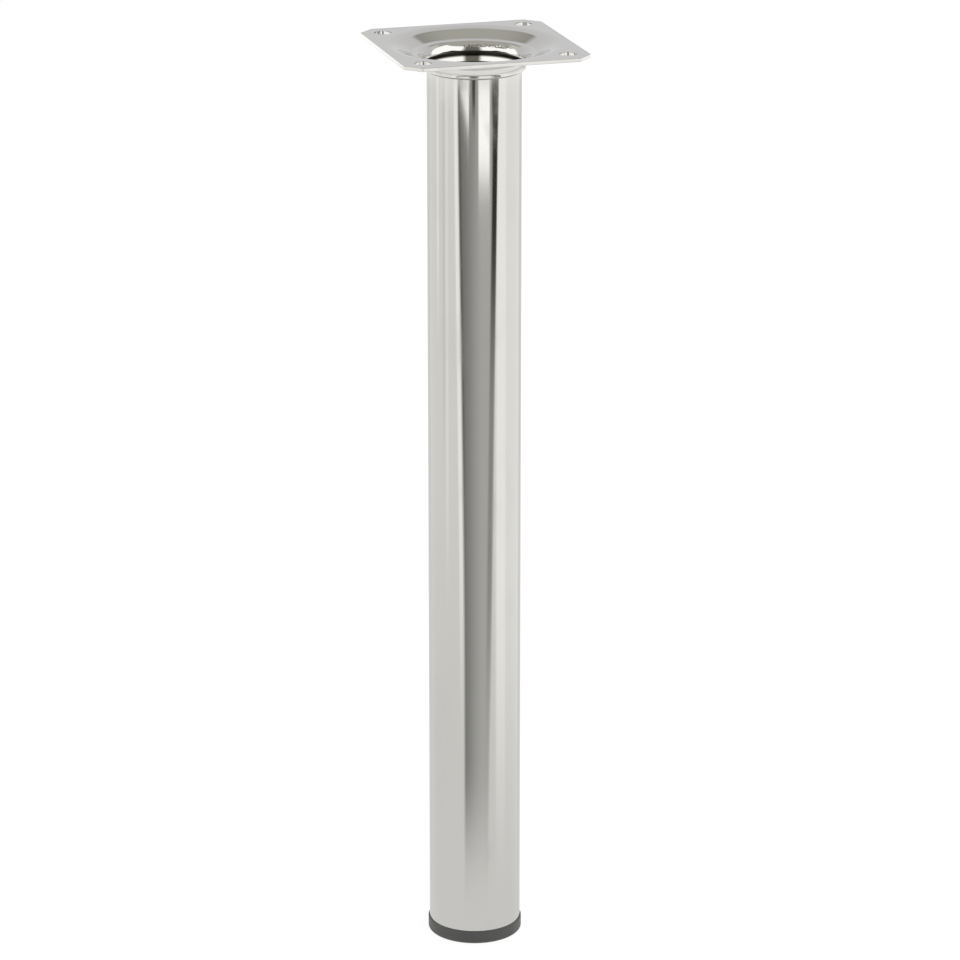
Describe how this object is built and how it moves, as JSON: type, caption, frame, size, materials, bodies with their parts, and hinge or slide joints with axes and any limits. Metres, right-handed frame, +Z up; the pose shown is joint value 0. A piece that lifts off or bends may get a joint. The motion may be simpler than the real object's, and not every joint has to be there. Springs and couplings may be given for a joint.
{
  "type": "furniture leg",
  "caption": "Chromed round tubular furniture leg with a square screw-on mounting plate, pressed dish and black plastic foot cap.",
  "frame": {"origin": "middle of the foot's underside, where the leg stands on the floor", "axes": "+Z up along the tube towards the mounting plate; X and Y along the plate's sides"},
  "size_m": [0.06, 0.06, 0.3],
  "materials": {
    "plate_chrome": "bright chrome plating on pressed sheet steel",
    "tube_chrome": "bright chrome plating on polished drawn tube",
    "braze_chrome": "bright chrome plating over a polished brazed fillet",
    "foot_plastic": "fine satin moulded surface"
  },
  "bodies": {
    "root": {"mounting_plate": "plate_chrome", "tube": "tube_chrome", "braze_ring": "braze_chrome", "foot_cap": "foot_plastic"}
  },
  "joints": []
}
